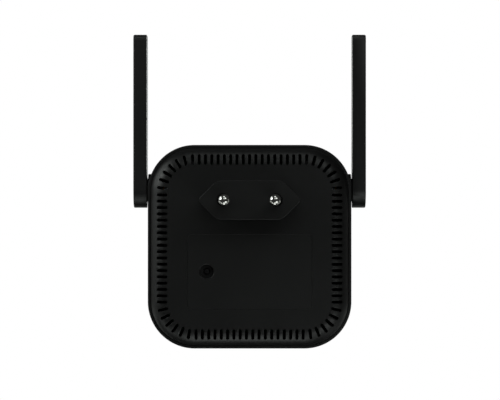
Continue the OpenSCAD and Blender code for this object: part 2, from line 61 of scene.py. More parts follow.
CASE_LOW, CASE_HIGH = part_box("front_cover")
CASE_W = CASE_HIGH.x - CASE_LOW.x
CASE_MID = (CASE_LOW.z + CASE_HIGH.z) / 2
CASE_CORNER = 16.8 * MM
CORNER_STEPS = 28
RIM_Y = CASE_LOW.y
FRONT_Y = CASE_HIGH.y
FRONT_WALL = 2 * MM
FRONT_EDGE = 2 * MM
LIP = 1.03 * MM
LIP_OUTER_EASE = 0.12 * MM
LIP_INNER_EASE = 0.08 * MM
LEDGE_Y = RIM_Y + 2 * MM
HINGE_Y = (RIM_Y + FRONT_Y) / 2
HINGE_Z = CASE_MID + 20.35 * MM
HINGE_PAD_R = 5.8 * MM
HINGE_PAD_ROOT = 0.75 * FRONT_WALL
HINGE_PAD_PROUD = 0.01 * MM
HINGE_PAD_EASE = 0.2 * MM
HINGE_BORE_R = 2.55 * MM
HINGE_BARREL_R = 4.3 * MM
BARREL_END_X = CASE_W / 2 - 5.3 * MM
WINDOW_Z = CASE_MID - 24 * MM
WINDOW_R = 1.23 * MM
WINDOW_EASE = 0.15 * MM


def flat_blank(name, width, height, centre, facing):
    """Lays down a flat rectangle and opens it for shaping."""
    bpy.ops.object.select_all(action="DESELECT")
    bpy.ops.mesh.primitive_plane_add(size=1, location=centre, rotation=facing)
    blank = bpy.context.object
    blank.name = blank.data.name = name
    blank.scale = (width, height, 1)
    bpy.ops.object.transform_apply(location=True, rotation=True, scale=True)
    bpy.ops.object.mode_set(mode="EDIT")
    return blank


def pick(kind, wanted):
    """Selects the corners, edges or faces of the open piece whose corners all pass the test.
    Edges that only divide a flat or nearly flat surface are left out."""
    bpy.ops.mesh.select_mode(type=kind)
    bpy.ops.mesh.select_all(action="DESELECT")
    mesh = bmesh.from_edit_mesh(bpy.context.object.data)
    for part in {"VERT": mesh.verts, "EDGE": mesh.edges, "FACE": mesh.faces}[kind]:
        corners = [part.co] if kind == "VERT" else [v.co for v in part.verts]
        lies_flat = kind == "EDGE" and part.calc_face_angle(math.pi) < FLAT_ANGLE
        if all(wanted(c) for c in corners) and not lies_flat:
            part.select_set(True)
    mesh.select_flush_mode()
    bmesh.update_edit_mesh(bpy.context.object.data)


def round_off(kind, radius, steps, wanted=lambda c: True):
    """Rounds the picked corners of an outline (VERT) or edges of a solid (EDGE)."""
    pick(kind, wanted)
    bpy.ops.mesh.bevel(
        offset=radius, segments=steps, profile=0.5,
        affect="VERTICES" if kind == "VERT" else "EDGES",
    )


def pull_out(way):
    """Pulls the open outline out into a closed solid."""
    bpy.ops.mesh.select_mode(type="FACE")
    bpy.ops.mesh.select_all(action="SELECT")
    bpy.ops.mesh.extrude_region_move(TRANSFORM_OT_translate={"value": way})
    bpy.ops.mesh.select_all(action="SELECT")
    bpy.ops.mesh.remove_doubles(threshold=TOUCH)
    bpy.ops.mesh.normals_make_consistent(inside=False)


def close_up():
    """Leaves the open piece in object mode, selected and active."""
    bpy.ops.object.mode_set(mode="OBJECT")
    return bpy.context.object


def activate(piece):
    """Makes a piece the only one that is selected."""
    bpy.ops.object.select_all(action="DESELECT")
    piece.select_set(True)
    bpy.context.view_layer.objects.active = piece


def rod(name, radius, start, end, sides=72):
    """A round bar from one point to another."""
    start, end = Vector(start), Vector(end)
    bpy.ops.object.select_all(action="DESELECT")
    bpy.ops.mesh.primitive_cylinder_add(
        vertices=sides, radius=radius, depth=(end - start).length, location=(start + end) / 2,
        rotation=(end - start).to_track_quat("Z", "Y").to_euler(),
    )
    bar = bpy.context.object
    bar.name = bar.data.name = name
    bpy.ops.object.transform_apply(location=True, rotation=True, scale=True)
    return bar


def apply_tool(piece, tool, operation):
    """Cuts a tool out of a piece, or joins it on, and throws the tool away."""
    step = piece.modifiers.new("tool", "BOOLEAN")
    step.operation = operation
    step.solver = "EXACT"
    step.object = tool
    activate(piece)
    bpy.ops.object.modifier_apply(modifier=step.name)
    bpy.data.objects.remove(tool)


def shade(piece):
    """Shades all but the sharp edges smooth, and keeps large flat faces flat."""
    activate(piece)
    bpy.ops.object.shade_smooth_by_angle(angle=SMOOTH_ANGLE)
    even = piece.modifiers.new("even", "WEIGHTED_NORMAL")
    even.keep_sharp = True
    bpy.ops.object.modifier_apply(modifier=even.name)


def sink(wall, y_start, y_end):
    """Sinks the open piece's face at y_start down to y_end, leaving a wall round it."""
    pick("FACE", lambda c: abs(c.y - y_start) < TOUCH)
    bpy.ops.mesh.inset(thickness=wall)
    bpy.ops.mesh.extrude_region_move(TRANSFORM_OT_translate={"value": (0, y_end - y_start, 0)})


def case_block(name, inset, y_start, y_end):
    """A solid of the case's rounded square outline, drawn in by inset."""
    side = CASE_W - 2 * inset
    flat_blank(name, side, side, (0, y_start, CASE_MID), BACKWARD)
    round_off("VERT", CASE_CORNER - inset, CORNER_STEPS)
    pull_out((0, y_end - y_start, 0))
    return close_up()


def inset_depth(c):
    """How far a point lies inside the case's outline, seen from the back."""
    across = abs(c.x) - CASE_W / 2 + CASE_CORNER
    up = abs(c.z - CASE_MID) - CASE_W / 2 + CASE_CORNER
    reach = math.hypot(across, up) if min(across, up) > 0 else max(across, up)
    return CASE_CORNER - reach


def linear(code):
    """Turns an sRGB hex colour into the linear values that a shader takes."""
    parts = [int(code[i:i + 2], 16) / 255 for i in (1, 3, 5)]
    return tuple(p / 12.92 if p <= 0.04045 else ((p + 0.055) / 1.055) ** 2.4 for p in parts) + (1,)


def add_node(material, kind, links=None, **settings):
    """Adds a node, sets its properties and plain inputs, and joins up its linked inputs."""
    made = material.node_tree.nodes.new(kind)
    for key, value in settings.items():
        if key in made.inputs:
            made.inputs[key].default_value = value
        else:
            setattr(made, key, value)
    for key, output in (links or {}).items():
        material.node_tree.links.new(output, made.inputs[key])
    return made


def join_to(material, output, node, key):
    """Joins an output to an input of a node that is there already."""
    material.node_tree.links.new(output, node.inputs[key])


def new_material(name):
    """An empty material with its shader, its output and the piece's own coordinates."""
    material = bpy.data.materials.new(name)
    material.use_nodes = True
    material.node_tree.nodes.clear()
    shader = add_node(material, "ShaderNodeBsdfPrincipled")
    add_node(material, "ShaderNodeOutputMaterial", {"Surface": shader.outputs["BSDF"]})
    place = add_node(material, "ShaderNodeTexCoord")
    return material, shader, place.outputs["Object"]


NOISE_SPAN = {"From Min": 0.3, "From Max": 0.7}
FLOW_CLOUD = 14 * MM
FLOW_GLOSS = 0.015
GRAIN_HEIGHT = 0.02 * MM


def grained_black(name, dark, pale, roughness, grain_mm=0.32, depth=0.12):
    """Black plastic with the grain of its mould or coating: the grain scatters the light, so it
    looks matt and soft, with faint clouds of tone and gloss where the plastic flowed. The real
    grain is under 0.1 mm. It is drawn coarser, so that it shows."""
    material, shader, place = new_material(name)
    grain = add_node(
        material, "ShaderNodeTexNoise", {"Vector": place}, Scale=1 / (grain_mm * MM), Detail=2.0,
    )
    cloud = add_node(material, "ShaderNodeTexNoise", {"Vector": place}, Scale=1 / FLOW_CLOUD, Detail=3.0)
    tone = add_node(
        material, "ShaderNodeMixRGB", {"Fac": cloud.outputs["Fac"]},
        Color1=linear(dark), Color2=linear(pale),
    )
    gloss = add_node(
        material, "ShaderNodeMapRange", {"Value": cloud.outputs["Fac"]}, **NOISE_SPAN,
        **{"To Min": roughness - FLOW_GLOSS, "To Max": roughness + FLOW_GLOSS},
    )
    bump = add_node(
        material, "ShaderNodeBump", {"Height": grain.outputs["Fac"]},
        Strength=depth, Distance=GRAIN_HEIGHT,
    )
    join_to(material, tone.outputs["Color"], shader, "Base Color")
    join_to(material, gloss.outputs["Result"], shader, "Roughness")
    join_to(material, bump.outputs["Normal"], shader, "Normal")
    shader.inputs["IOR"].default_value = 1.5
    return material


def dress(piece, material):
    """Gives a piece one material all over."""
    piece.data.materials.clear()
    piece.data.materials.append(material)
    piece.data.polygons.foreach_set("material_index", [0] * len(piece.data.polygons))


# The mould is spark eroded all over, so the case is evenly matt, with a soft broad shine.
case_abs = grained_black("black ABS, spark eroded grain", "#121212", "#141414", 0.42)

front_shell = case_block("front_shell", 0, RIM_Y, FRONT_Y)
bpy.ops.object.mode_set(mode="EDIT")
round_off("EDGE", FRONT_EDGE, 8, lambda c: c.y > FRONT_Y - TOUCH)
sink(LIP, RIM_Y, LEDGE_Y)
sink(FRONT_WALL - LIP, LEDGE_Y, FRONT_Y - FRONT_WALL)
for depth, ease in ((0, LIP_OUTER_EASE), (LIP, LIP_INNER_EASE)):
    round_off("EDGE", ease, 3, lambda c: (
        c.y < RIM_Y + TOUCH and abs(inset_depth(c) - depth) < 2 * TOUCH
    ))
close_up()
for side in (-1, 1):
    rod(
        "hinge_pad", HINGE_PAD_R,
        (side * (CASE_W / 2 - HINGE_PAD_ROOT), HINGE_Y, HINGE_Z),
        (side * (CASE_W / 2 + HINGE_PAD_PROUD), HINGE_Y, HINGE_Z), 96,
    )
    bpy.ops.object.mode_set(mode="EDIT")
    round_off("EDGE", HINGE_PAD_EASE, 3, lambda c: abs(c.x) > CASE_W / 2)
    apply_tool(front_shell, close_up(), "UNION")
    barrel = rod(
        "hinge_barrel", HINGE_BARREL_R,
        (side * BARREL_END_X, HINGE_Y, HINGE_Z),
        (side * (CASE_W / 2 - FRONT_WALL / 2), HINGE_Y, HINGE_Z),
    )
    apply_tool(front_shell, barrel, "UNION")
    bore = rod(
        "hinge_bore", HINGE_BORE_R,
        (side * (BARREL_END_X - OVERSHOOT), HINGE_Y, HINGE_Z), (side * CASE_W, HINGE_Y, HINGE_Z),
    )
    apply_tool(front_shell, bore, "DIFFERENCE")
window_hole = rod(
    "window_hole", WINDOW_R,
    (0, FRONT_Y - 2 * FRONT_WALL, WINDOW_Z), (0, FRONT_Y + OVERSHOOT, WINDOW_Z), 48,
)
apply_tool(front_shell, window_hole, "DIFFERENCE")
bpy.ops.object.mode_set(mode="EDIT")
round_off("EDGE", WINDOW_EASE, 3, lambda c: (
    c.y > FRONT_Y - TOUCH and abs(math.hypot(c.x, c.z - WINDOW_Z) - WINDOW_R) < TOUCH
))
close_up()
shade(front_shell)
dress(front_shell, case_abs)
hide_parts("front_cover")
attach(front_shell, "housing")


# Rear cover: a shallow dish of the same ABS that drops in behind the front cover's lip.
# The mould cuts a ring of slots across its curved rim for the warm air, the opening for
# the plug, a shallow bed for the label and the well of the reset button.
BACK_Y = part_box("rear_cover")[0].y
REAR_INSET = 1.15 * MM
REAR_WALL = 1.8 * MM
BACK_EDGE = 5.8 * MM
SLIVER = 0.005 * MM
SLOTS = 97
SLOT_W = 1.05 * MM
SLOT_L = 3.8 * MM
SLOT_INSET = 7.2 * MM
SLOT_EASE = 0.1 * MM
SLOT_EASE_STEPS = ((0.7, 0.3), (0.3, 0.7))
SLOT_ROUND = 0.48
SLOT_START = 0.5 * MM
SLOT_MOUTH = 0.48 * MM
LABEL_W = 44 * MM
LABEL_H = 26.2 * MM
LABEL_CORNER = 1.6 * MM
LABEL_Z = CASE_MID - 8.9 * MM
LABEL_BED = 0.25 * MM
LABEL_GAP = 0.25 * MM
RESET_X = -15.3 * MM
RESET_Z = CASE_MID - 8.75 * MM
WELL_R = 2.5 * MM
WELL_WALL = 1.2 * MM
WELL_EDGE = 0.24 * MM
WELL_ROOT_Y = BACK_Y + 0.9 * REAR_WALL
WELL_FLOOR_Y = BACK_Y + 2.8 * MM
WELL_END_Y = WELL_FLOOR_Y + 1 * MM
GUIDE_R = 1.3 * MM
PLUG_W = 35.3 * MM
PLUG_H = 13.7 * MM
PLUG_TIP_R = 1.5 * MM
PLUG_CORNER_R = 1.6 * MM
PLUG_GAP = 0.08 * MM
OPENING_EASE = 0.1 * MM
NEAR = 0.1 * MM


def plug_prism(name, gap, y_start, y_end):
    """The six-sided outline of the plug as a solid, larger all round by gap."""
    high = PLUG_H + 2 * gap
    wide = PLUG_W + 2 * (math.sqrt(2) - 1) * PLUG_TIP_R + 2 * math.sqrt(2) * gap
    flat_blank(name, wide, high, (0, y_start, 0), BACKWARD)
    round_off("VERT", high / 2, 1)
    bpy.ops.mesh.select_all(action="SELECT")
    bpy.ops.mesh.remove_doubles(threshold=NEAR / 2)
    round_off("VERT", PLUG_TIP_R + gap, 8, lambda c: abs(c.z) < NEAR)
    round_off("VERT", PLUG_CORNER_R, 8, lambda c: abs(c.z) > high / 2 - NEAR)
    pull_out((0, y_end - y_start, 0))
    return close_up()


def label_block(name, gap, y_start, y_end):
    """The label's outline as a thin solid, larger all round by gap."""
    flat_blank(name, LABEL_W + 2 * gap, LABEL_H + 2 * gap, (0, y_start, LABEL_Z), BACKWARD)
    round_off("VERT", LABEL_CORNER + gap, 8)
    pull_out((0, y_end - y_start, 0))
    return close_up()


def slot_places():
    """Where each slot's inner end lies, and which way it points: equal steps round the rim."""
    straight = CASE_W / 2 - CASE_CORNER
    bend = CASE_CORNER - SLOT_INSET
    side_l = 2 * straight + math.pi / 2 * bend
    for k in range(SLOTS):
        along = k * 4 * side_l / SLOTS + straight
        side = int(along / side_l)
        run = along - side * side_l
        turn = max(run - 2 * straight, 0) / bend
        yield (
            Matrix.Translation((0, 0, CASE_MID))
            @ Matrix.Rotation(side * math.pi / 2, 4, "Y")
            @ Matrix.Translation((min(run, 2 * straight) - straight, 0, straight))
            @ Matrix.Rotation(turn, 4, "Y")
            @ Matrix.Translation((0, 0, bend))
        )


def rim_drop(inset):
    """How far the curved rim has fallen away from the back, that far in from its edge."""
    run = max(BACK_EDGE - inset, 0)
    return BACK_EDGE - math.sqrt(BACK_EDGE ** 2 - run ** 2)


def slot_cutters():
    """One round-ended slot with a rounded mouth that follows the rim, copied to every place."""
    wide = SLOT_W + 2 * SLOT_EASE
    long = SLOT_L + 2 * SLOT_EASE
    first = flat_blank("slot", wide, long, (0, BACK_Y - SLOT_START, SLOT_L / 2), BACKWARD)
    round_off("VERT", SLOT_ROUND * wide, 5)
    pick("EDGE", lambda c: abs(c.x) > wide / 2 - SLIVER)
    bpy.ops.mesh.subdivide(number_cuts=7)
    bpy.ops.mesh.select_mode(type="FACE")
    bpy.ops.mesh.select_all(action="SELECT")
    bpy.ops.mesh.extrude_region_move(TRANSFORM_OT_translate={"value": (0, SLOT_MOUTH, 0)})
    for narrower, deeper in SLOT_EASE_STEPS:
        bpy.ops.mesh.inset(thickness=narrower * SLOT_EASE, depth=-deeper * SLOT_EASE)
    bpy.ops.mesh.extrude_region_move(TRANSFORM_OT_translate={"value": (0, BACK_EDGE, 0)})
    bpy.ops.mesh.select_all(action="SELECT")
    bpy.ops.mesh.normals_make_consistent(inside=False)
    close_up()
    for corner in first.data.vertices:
        corner.co.y += rim_drop(SLOT_INSET - REAR_INSET - corner.co.z)
    copies = []
    for place in slot_places():
        copy = first.copy()
        copy.data = first.data.copy()
        copy.data.transform(place)
        bpy.context.scene.collection.objects.link(copy)
        copies.append(copy)
    bpy.data.objects.remove(first)
    activate(copies[0])
    for copy in copies:
        copy.select_set(True)
    bpy.ops.object.join()
    return bpy.context.object


def reset_rod(name, radius, y_start, y_end, sides=72):
    """A round bar on the reset button's axis."""
    return rod(name, radius, (RESET_X, y_start, RESET_Z), (RESET_X, y_end, RESET_Z), sides)


rear_shell = case_block("rear_shell", REAR_INSET, LEDGE_Y, BACK_Y)
bpy.ops.object.mode_set(mode="EDIT")
round_off("EDGE", BACK_EDGE, 18, lambda c: c.y < BACK_Y + TOUCH)
sink(REAR_WALL, LEDGE_Y, BACK_Y + REAR_WALL)
round_off("EDGE", BACK_EDGE - REAR_WALL, 10, lambda c: abs(c.y - BACK_Y - REAR_WALL) < TOUCH)
close_up()
apply_tool(rear_shell, slot_cutters(), "DIFFERENCE")
well_boss = reset_rod("well_boss", WELL_R + WELL_WALL, WELL_ROOT_Y, WELL_END_Y)
apply_tool(rear_shell, well_boss, "UNION")
plug_opening = plug_prism("plug_opening", PLUG_GAP, BACK_Y - OVERSHOOT, BACK_Y + 2 * REAR_WALL)
apply_tool(rear_shell, plug_opening, "DIFFERENCE")
label_bed = label_block("label_bed", LABEL_GAP, BACK_Y - OVERSHOOT, BACK_Y + LABEL_BED)
apply_tool(rear_shell, label_bed, "DIFFERENCE")
well = reset_rod("well", WELL_R, BACK_Y - OVERSHOOT, WELL_FLOOR_Y)
apply_tool(rear_shell, well, "DIFFERENCE")
bpy.ops.object.mode_set(mode="EDIT")
round_off("EDGE", WELL_EDGE, 4, lambda c: (
    abs(c.y - BACK_Y - LABEL_BED) < TOUCH
    and abs(math.hypot(c.x - RESET_X, c.z - RESET_Z) - WELL_R) < TOUCH
))
close_up()
guide = reset_rod("guide", GUIDE_R, BACK_Y, WELL_END_Y + OVERSHOOT, 48)
apply_tool(rear_shell, guide, "DIFFERENCE")
bpy.ops.object.mode_set(mode="EDIT")
bpy.ops.mesh.select_all(action="SELECT")
bpy.ops.mesh.remove_doubles(threshold=SLIVER)
round_off("EDGE", OPENING_EASE, 3, lambda c: (
    c.y < BACK_Y + TOUCH and inset_depth(c) > SLOT_INSET + 1 * MM
))
close_up()
shade(rear_shell)
dress(rear_shell, case_abs)
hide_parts("rear_cover")
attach(rear_shell, "housing")


# Plug block: the flat body of the mains plug, moulded in black polycarbonate. A flange
# inside the case is staked to the rear cover, and each pin's sleeve sits in a round seat.
PLUG_LOW, PLUG_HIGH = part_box("plug_block")
PIN_L = 19 * MM
PIN_LEAN = 0.55 * MM
PIN_TILT = math.atan(PIN_LEAN / PIN_L)
PIN_BASE = 9.3 * MM
PIN_HOLE_L = 22 * MM
PIN_HOLE_GAP = 0.03 * MM
SLEEVE_R = 1.8 * MM
SEAT_GAP = 0.4 * MM
SEAT_DEPTH = 0.6 * MM
FLANGE_Y = BACK_Y + REAR_WALL
FLANGE_LAP = 0.1 * MM
FLANGE_CORNER = 2 * MM
PLUG_EASE = 0.15 * MM


def along_pin(side, out):
    """A point on a pin's leaning axis, that far out of the block's face."""
    return Vector((side * (PIN_BASE - out * math.sin(PIN_TILT)), -out * math.cos(PIN_TILT), 0))


def ease_edges(piece, width, steps=3, angle=35):
    """Breaks every edge sharper than the angle with a small radius, and shades the piece."""
    activate(piece)
    bevel = piece.modifiers.new("eased", "BEVEL")
    bevel.width = width
    bevel.segments = steps
    bevel.limit_method = "ANGLE"
    bevel.angle_limit = math.radians(angle)
    bevel.miter_outer = "MITER_ARC"
    bpy.ops.object.modifier_apply(modifier=bevel.name)
    shade(piece)


# A finer mould than the case's: a shade paler and a little smoother, so its edges catch light.
plug_polycarbonate = grained_black("black polycarbonate, satin", "#171717", "#191919", 0.4, 0.22, 0.1)

plug_body = plug_prism("plug_body", 0, PLUG_LOW.y, FLANGE_Y + FLANGE_LAP)
flat_blank("flange", PLUG_HIGH.x - PLUG_LOW.x, PLUG_HIGH.z - PLUG_LOW.z, (0, FLANGE_Y, 0), BACKWARD)
round_off("VERT", FLANGE_CORNER, 6)
pull_out((0, PLUG_HIGH.y - FLANGE_Y, 0))
apply_tool(plug_body, close_up(), "UNION")
for side in (-1, 1):
    seat = rod(
        "sleeve_seat", SLEEVE_R + SEAT_GAP,
        (side * PIN_BASE, -OVERSHOOT, 0), (side * PIN_BASE, SEAT_DEPTH, 0), 48,
    )
    apply_tool(plug_body, seat, "DIFFERENCE")
    hole = rod(
        "pin_hole", SLEEVE_R + PIN_HOLE_GAP,
        along_pin(side, 2 * OVERSHOOT), along_pin(side, -PIN_HOLE_L), 48,
    )
    apply_tool(plug_body, hole, "DIFFERENCE")
ease_edges(plug_body, PLUG_EASE, 4)
dress(plug_body, plug_polycarbonate)
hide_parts("plug_block")
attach(plug_body, "housing")


# Plug pins: turned brass with a bright nickel plate and a domed end. Only the outer end
# is bare; a black nylon sleeve, moulded on a thinner core, covers the rest down to the block.
PIN_R = 2 * MM
PIN_DOME = 0.96 * PIN_R
PIN_SHOULDER = 0.1 * MM
PIN_EASE = 0.05 * MM
PIN_TAIL = 23.5 * MM
CORE_R = 1.5 * MM
CORE_LAP = 0.2 * MM
SLEEVE_L = 10 * MM
SLEEVE_ROOT = 1.5 * MM
SLEEVE_GAP = 0.02 * MM
SLEEVE_EASE = 0.12 * MM
LATHE_LINE = 0.385 * MM
LATHE_TURN = 16.7 * MM
LATHE_HEIGHT = 0.01 * MM
PLATE_SMEAR = 1.6 * MM

# Plating on lathe turned brass: a bright mirror, softened in smears, with faint rings round
# the pin. Real lathe lines are finer, and are drawn this far apart so that they show.
nickel, shader, place = new_material("nickel plate on turned brass")
turning = add_node(
    nickel, "ShaderNodeMapping", {"Vector": place},
    Scale=(1 / LATHE_TURN, 1 / LATHE_LINE, 1 / LATHE_TURN),
)
lines = add_node(
    nickel, "ShaderNodeTexNoise", {"Vector": turning.outputs["Vector"]}, Scale=1.0, Detail=2.0,
)
smear = add_node(nickel, "ShaderNodeTexNoise", {"Vector": place}, Scale=1 / PLATE_SMEAR, Detail=3.0)
tint = add_node(
    nickel, "ShaderNodeMixRGB", {"Fac": smear.outputs["Fac"]},
    Color1=linear("#d8d6d0"), Color2=linear("#e6e5e2"),
)
polish = add_node(
    nickel, "ShaderNodeMapRange", {"Value": smear.outputs["Fac"]}, **NOISE_SPAN,
    **{"To Min": 0.08, "To Max": 0.16},
)
ridges = add_node(
    nickel, "ShaderNodeBump", {"Height": lines.outputs["Fac"]}, Strength=0.05, Distance=LATHE_HEIGHT,
)
join_to(nickel, tint.outputs["Color"], shader, "Base Color")
join_to(nickel, polish.outputs["Result"], shader, "Roughness")
join_to(nickel, ridges.outputs["Normal"], shader, "Normal")
shader.inputs["Metallic"].default_value = 1.0

# Nylon takes the polish of its mould, so the sleeves are darker and glossier than the block.
sleeve_nylon = grained_black("black nylon, moulded sleeve", "#0f0f10", "#121213", 0.38, 0.2, 0.08)

for side, name in ((-1, "left"), (1, "right")):
    pin = rod(f"pin_{name}", PIN_R, along_pin(side, SLEEVE_L), along_pin(side, PIN_L), 96)
    axis = (along_pin(side, PIN_L) - along_pin(side, 0)).normalized()
    tip = along_pin(side, PIN_L)
    bpy.ops.object.mode_set(mode="EDIT")
    round_off("EDGE", PIN_DOME, 14, lambda c: (c - tip).dot(axis) > -TOUCH)
    round_off("EDGE", PIN_SHOULDER, 3, lambda c: (c - tip).dot(axis) < SLEEVE_L - PIN_L + TOUCH)
    close_up()
    core = rod("core", CORE_R, along_pin(side, -PIN_TAIL), along_pin(side, SLEEVE_L + CORE_LAP), 64)
    apply_tool(pin, core, "UNION")
    ease_edges(pin, PIN_EASE, 2, 60)
    dress(pin, nickel)
    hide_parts(f"plug_pin_{name}")
    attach(pin, "housing")

    sleeve = rod(
        f"sleeve_{name}", SLEEVE_R, along_pin(side, -SLEEVE_ROOT), along_pin(side, SLEEVE_L), 96,
    )
    bore = rod(
        "bore", CORE_R + SLEEVE_GAP,
        along_pin(side, -2 * SLEEVE_ROOT), along_pin(side, SLEEVE_L + OVERSHOOT), 64,
    )
    apply_tool(sleeve, bore, "DIFFERENCE")
    ease_edges(sleeve, SLEEVE_EASE, 3)
    dress(sleeve, sleeve_nylon)
    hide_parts(f"pin_sleeve_{name}")
    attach(sleeve, "housing")


# Rating label: a bare piece of black polyester film, die cut with round corners and stuck
# in its bed, with a hole round the reset well.
LABEL_T = 0.2 * MM
LABEL_SPREAD = 0.18 * MM
LABEL_EASE = 0.04 * MM
PUNCH_GAP = 0.25 * MM

# A matt coated film: as dark as the case and a little duller, so that only its edge shows.
label_film = grained_black("black polyester film, matt", "#121212", "#141414", 0.44, 0.6, 0.05)

label = label_block("label_film", LABEL_SPREAD, BACK_Y + LABEL_BED - LABEL_T, BACK_Y + LABEL_BED)
punch = reset_rod("punch", WELL_R + PUNCH_GAP, BACK_Y - OVERSHOOT, BACK_Y + OVERSHOOT)
apply_tool(label, punch, "DIFFERENCE")
ease_edges(label, LABEL_EASE, 2)
dress(label, label_film)
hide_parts("rating_label")
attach(label, "housing")


# Reset button: a small black acetal plunger at the bottom of the well. Its collar keeps it
# behind the rear cover, and it presses the brown stem of a switch on the main board.
PLUNGER_LOW, PLUNGER_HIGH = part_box("reset_plunger")
PLUNGER_R = 1.1 * MM
PLUNGER_DOME = 0.45 * MM
PLUNGER_EASE = 0.06 * MM
COLLAR_R = (PLUNGER_HIGH.x - PLUNGER_LOW.x) / 2
COLLAR_Y = WELL_END_Y + 0.05 * MM
COLLAR_T = 0.8 * MM

# Acetal is smooth and a little waxy. Its colour is set darker than the case's as painted shade of the deep
# well, so the button looks almost pure black.
acetal_darkened_as_well_shade = grained_black("black acetal, darkened as painted well shade", "#0b0b0c", "#0f0f10", 0.4, 0.15, 0.06)

plunger = reset_rod("reset_button", PLUNGER_R, PLUNGER_LOW.y, PLUNGER_HIGH.y, 48)
bpy.ops.object.mode_set(mode="EDIT")
round_off("EDGE", PLUNGER_DOME, 6, lambda c: c.y < PLUNGER_LOW.y + TOUCH)
close_up()
collar = reset_rod("collar", COLLAR_R, COLLAR_Y, COLLAR_Y + COLLAR_T, 48)
apply_tool(plunger, collar, "UNION")
ease_edges(plunger, PLUNGER_EASE, 2)
dress(plunger, acetal_darkened_as_well_shade)
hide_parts("reset_plunger")
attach(plunger, "reset_button")


# Antennas: each is a flat moulded ABS case, round at the hinge, with a cover let into its
# outer face. A collar on the case turns on the hinge pad. The right one mirrors the left.
ANTENNA_LOW, ANTENNA_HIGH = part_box("antenna_case_left")
ANTENNA_IN = -CASE_W / 2 - 0.45 * MM
ANTENNA_OUT = ANTENNA_LOW.x
ANTENNA_W = ANTENNA_HIGH.y - ANTENNA_LOW.y
ANTENNA_L = ANTENNA_HIGH.z - ANTENNA_LOW.z
ANTENNA_TIP = 2 * MM
ANTENNA_EDGE = 0.45 * MM
ANTENNA_EASE = 0.15 * MM
ANTENNA_WALL = 1.4 * MM
ANTENNA_FLOOR = 1.2 * MM
NEARLY_ROUND = 0.9999
HINGE_COLLAR_R = 4.15 * MM
HINGE_COLLAR_ROOT = 0.3 * MM
HINGE_COLLAR_PLAY = 0.05 * MM
SHAFT_HOLE_R = 2.53 * MM
LID_T = 1.1 * MM
LID_INSET = 0.8 * MM
LID_GAP = 0.08 * MM


def antenna_block(name, inset, x_start, x_end):
    """The antenna's side outline as a solid, drawn in by inset."""
    middle = (x_start, HINGE_Y, (ANTENNA_LOW.z + ANTENNA_HIGH.z) / 2)
    flat_blank(name, ANTENNA_W - 2 * inset, ANTENNA_L - 2 * inset, middle, SIDEWAYS)
    round_off("VERT", (ANTENNA_W / 2 - inset) * NEARLY_ROUND, 28, lambda c: c.z < HINGE_Z)
    round_off("VERT", ANTENNA_TIP - inset, 8, lambda c: c.z > ANTENNA_HIGH.z - inset - NEAR)
    pull_out((x_end - x_start, 0, 0))
    return close_up()


def mirrored(piece, name):
    """A right-hand copy of a left-hand piece."""
    copy = piece.copy()
    copy.data = piece.data.copy()
    copy.name = copy.data.name = name
    bpy.context.scene.collection.objects.link(copy)
    activate(copy)
    copy.scale = (-1, 1, 1)
    bpy.ops.object.transform_apply(location=True, rotation=True, scale=True)
    bpy.ops.object.mode_set(mode="EDIT")
    bpy.ops.mesh.select_all(action="SELECT")
    bpy.ops.mesh.normals_make_consistent(inside=False)
    close_up()
    return copy


# The same eroded grain as the case, a shade paler, so the antennas stand out from it a little.
antenna_abs = grained_black("black ABS, antenna", "#141414", "#161616", 0.42)

antenna = antenna_block("antenna_left", 0, ANTENNA_IN, ANTENNA_OUT)
bpy.ops.object.mode_set(mode="EDIT")
round_off("EDGE", ANTENNA_EDGE, 4, lambda c: c.x < ANTENNA_OUT + TOUCH)
close_up()
hinge_collar = rod(
    "hinge_collar", HINGE_COLLAR_R,
    (ANTENNA_IN - HINGE_COLLAR_ROOT, HINGE_Y, HINGE_Z),
    (-CASE_W / 2 - HINGE_COLLAR_PLAY, HINGE_Y, HINGE_Z), 64,
)
apply_tool(antenna, hinge_collar, "UNION")
lid_bed = antenna_block("lid_bed", LID_INSET, ANTENNA_OUT + LID_T, ANTENNA_OUT - OVERSHOOT)
apply_tool(antenna, lid_bed, "DIFFERENCE")
cavity = antenna_block("cavity", ANTENNA_WALL, ANTENNA_IN - ANTENNA_FLOOR, ANTENNA_OUT)
apply_tool(antenna, cavity, "DIFFERENCE")
shaft_hole = rod(
    "shaft_hole", SHAFT_HOLE_R,
    (ANTENNA_OUT + LID_T, HINGE_Y, HINGE_Z), (-CASE_W / 2, HINGE_Y, HINGE_Z), 48,
)
apply_tool(antenna, shaft_hole, "DIFFERENCE")
ease_edges(antenna, ANTENNA_EASE, 3)
lid = antenna_block("antenna_lid_left", LID_INSET + LID_GAP, ANTENNA_OUT + LID_T, ANTENNA_OUT)
ease_edges(lid, ANTENNA_EASE, 3)
for side, case, cover in (
    ("left", antenna, lid),
    ("right", mirrored(antenna, "antenna_right"), mirrored(lid, "antenna_lid_right")),
):
    for piece, node in ((case, f"antenna_case_{side}"), (cover, f"antenna_cover_{side}")):
        dress(piece, antenna_abs)
        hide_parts(node)
        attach(piece, f"antenna_{side}")


# Inner parts: glass epoxy boards screwed into the case, with chips, cans and a ferrite core
# soldered to them, insulated wires, and the steel shafts and rings and bronze washers of the
# hinges. Their nodes keep their shapes, and each gets the finish of its own material.
PATCH_GLOSS = 0.06


